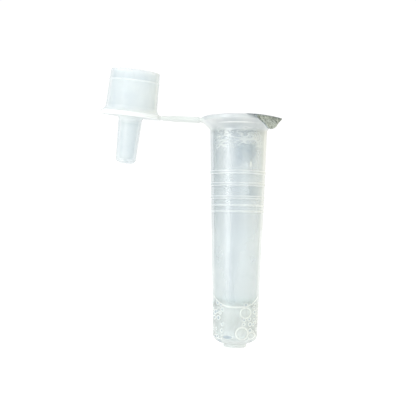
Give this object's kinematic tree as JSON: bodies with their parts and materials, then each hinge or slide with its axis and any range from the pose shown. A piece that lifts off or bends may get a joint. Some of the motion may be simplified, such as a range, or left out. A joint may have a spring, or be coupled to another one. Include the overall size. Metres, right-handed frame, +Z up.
{
  "type": "tethered dropper tube",
  "caption": "Small tapered translucent sample tube, foil-sealed at the mouth and part filled with buffer, with a flip-over plug cap and dropper nozzle on a flexible strap.",
  "frame": {"origin": "centre of the flat foot under the tube's round base", "axes": "+Z up along the tube's axis; the strap and the open cap lie towards -X; the folded foil corner is towards +X and -Y"},
  "size_m": [0.0381, 0.0169, 0.0581],
  "materials": {
    "tube_plastic": "translucent natural soft polyethylene, smooth",
    "strap_plastic": "translucent natural soft polyethylene, smooth",
    "cap_plastic": "milky translucent soft polyethylene, smooth",
    "foil": "matt rolled heat-seal foil, finely pitted",
    "buffer": "clear watery liquid with bubbles"
  },
  "bodies": {
    "tube_body": {"tube": "tube_plastic", "foil_bonded_strip": "foil", "buffer_liquid": "buffer"},
    "strap_1": {"strap_near_tube": "strap_plastic"},
    "strap_2": {"strap_middle": "strap_plastic"},
    "strap_3": {"strap_near_cap": "strap_plastic"},
    "strap_4": {"strap_cap_end": "strap_plastic"},
    "cap": {"dropper_cap": "cap_plastic"},
    "lid_foil": {"foil_lid": "foil"},
    "corner_foil": {"foil_pull_corner": "foil"}
  },
  "joints": [
    {"name": "strap_bend_at_tube", "type": "hinge", "parent": "tube_body", "child": "strap_1", "pos_m": [-0.00825, 0, 0.0475], "axis": [0, -1, 0], "range_deg": [-90, 9.4]},
    {"name": "strap_bend_inner", "type": "hinge", "parent": "strap_1", "child": "strap_2", "pos_m": [-0.01051, 0, 0.04756], "axis": [0, 1, 0], "range_deg": [-20, 98]},
    {"name": "strap_bend_outer", "type": "hinge", "parent": "strap_2", "child": "strap_3", "pos_m": [-0.01237, 0, 0.0476], "axis": [0, 1, 0], "range_deg": [-20, 98]},
    {"name": "strap_twist", "type": "hinge", "parent": "strap_3", "child": "strap_4", "pos_m": [-0.01431, 0, 0.04765], "axis": [-0.9997, 0, 0.0244], "range_deg": [-15, 5]},
    {"name": "strap_bend_at_cap", "type": "hinge", "parent": "strap_4", "child": "cap", "pos_m": [-0.01625, 0, 0.0477], "axis": [-0.0021, -0.9962, -0.0871], "range_deg": [-50, 12.35]},
    {"name": "foil_peel", "type": "hinge", "parent": "tube_body", "child": "lid_foil", "pos_m": [0, 0.00695, 0.0482], "axis": [-1, 0, 0], "range_deg": [0, 150]},
    {"name": "foil_corner_fold", "type": "hinge", "parent": "lid_foil", "child": "corner_foil", "pos_m": [0.00587, -0.00587, 0.04814], "axis": [-0.7071, -0.7071, 0], "range_deg": [-15, 105]}
  ]
}
